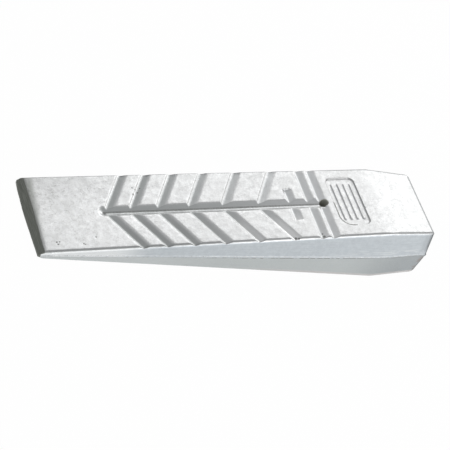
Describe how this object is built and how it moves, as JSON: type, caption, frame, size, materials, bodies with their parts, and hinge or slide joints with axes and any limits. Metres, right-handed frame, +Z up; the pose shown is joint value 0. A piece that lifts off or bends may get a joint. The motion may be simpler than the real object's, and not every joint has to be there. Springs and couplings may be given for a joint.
{
  "type": "felling wedge",
  "caption": "One-piece drop-forged aluminium felling wedge with barbed grip grooves in both faces, a groove along the middle, a lanyard hole and a plain sunk panel.",
  "frame": {"origin": "middle of the bounding box, at the level that the wedge lies on", "axes": "+X from the cutting edge to the poll, +Y across the wedge, +Z up; the lower face is level at z = 0"},
  "size_m": [0.2596, 0.06, 0.0402],
  "materials": {
    "forged_aluminium": "as forged and blasted, satin"
  },
  "bodies": {
    "root": {"wedge_body": "forged_aluminium"}
  },
  "joints": []
}
